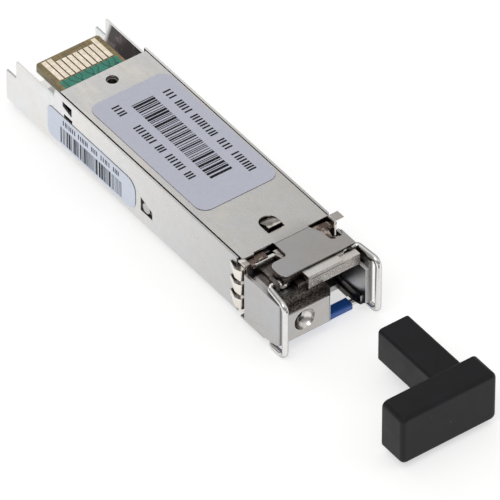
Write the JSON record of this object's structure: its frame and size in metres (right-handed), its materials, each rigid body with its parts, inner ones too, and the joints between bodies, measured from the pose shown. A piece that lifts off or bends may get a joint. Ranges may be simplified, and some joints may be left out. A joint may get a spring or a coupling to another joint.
{
  "type": "optical transceiver module",
  "caption": "Pluggable single-fibre optical transceiver with metal case, card-edge board, wire bail latch, spring grounding collar and a pull-out dust plug.",
  "frame": {"origin": "on the centre plane, in the stop plane behind the nose, on the outer face of the cover's floor", "axes": "+X across the width, +Y from the fibre port to the card edge, +Z towards the face that carries the latch boss and the large label"},
  "size_m": [0.0147, 0.0789, 0.0097],
  "materials": {
    "nickel_sheet": "satin nickel plate",
    "nickel_casting": "nickel plated die casting",
    "spring_metal": "bright spring strip",
    "bright_steel": "polished",
    "blue_plastic": "matte",
    "white_ceramic": "ground ceramic",
    "filter_glass": "coated",
    "gold_can": "gold plated",
    "gold_contact": "gold plated",
    "amber_film": "polyimide film",
    "grey_elastomer": "soft",
    "green_board": "solder mask",
    "black_package": "moulded",
    "ceramic_chip": "fired ceramic",
    "label_film": "printed film",
    "black_rubber": "moulded, matte"
  },
  "bodies": {
    "module": {"wrap_cover": "nickel_sheet", "top_plate": "nickel_sheet", "nose_housing": "nickel_casting", "port_blank": "nickel_sheet", "emi_collar": "spring_metal", "lever_pin": "bright_steel", "chassis_frame": "nickel_casting", "receptacle_barrel": "bright_steel", "split_sleeve": "white_ceramic", "fibre_stub": "white_ceramic", "optics_block": "bright_steel", "wavelength_filter": "filter_glass", "laser_can": "gold_can", "receiver_can": "gold_can", "laser_leads": "gold_contact", "receiver_leads": "gold_contact", "laser_flex": "amber_film", "receiver_flex": "amber_film", "osa_clamp": "spring_metal", "thermal_pad": "grey_elastomer", "circuit_board": "green_board", "contacts_top": "gold_contact", "contacts_bottom": "gold_contact", "driver_chip": "black_package", "controller_chip": "black_package", "amplifier_chip": "black_package", "passives": "ceramic_chip", "top_label": "label_film", "side_label": "label_film"},
    "latch_lever": {"latch_lever": "nickel_casting"},
    "spring_tab": {"spring_tab": "nickel_sheet"},
    "bail": {"bail_wire": "bright_steel", "bail_grip": "blue_plastic"},
    "dust_plug": {"dust_plug": "black_rubber"}
  },
  "joints": [
    {"name": "bail_hinge", "type": "hinge", "parent": "module", "child": "bail", "pos_m": [0, -0.0046, 0.0076], "axis": [-1, 0, 0], "range_deg": [0, 90]},
    {"name": "lever_rock", "type": "hinge", "parent": "module", "child": "latch_lever", "pos_m": [0, -0.0004, 0.0075], "axis": [-1, 0, 0], "range_deg": [0, 8.9]},
    {"name": "tab_flex", "type": "hinge", "parent": "module", "child": "spring_tab", "pos_m": [0, 0.00035, 0.00835], "axis": [-1, 0, 0], "range_deg": [0, 7.4]},
    {"name": "plug_slide", "type": "slide", "parent": "module", "child": "dust_plug", "axis": [0, 1, 0], "range_m": [0, 0.0183]}
  ],
  "couplings": [
    {"joint": "lever_rock", "follows": "bail_hinge", "ratio": 0.098889},
    {"joint": "tab_flex", "follows": "bail_hinge", "ratio": 0.082222}
  ]
}
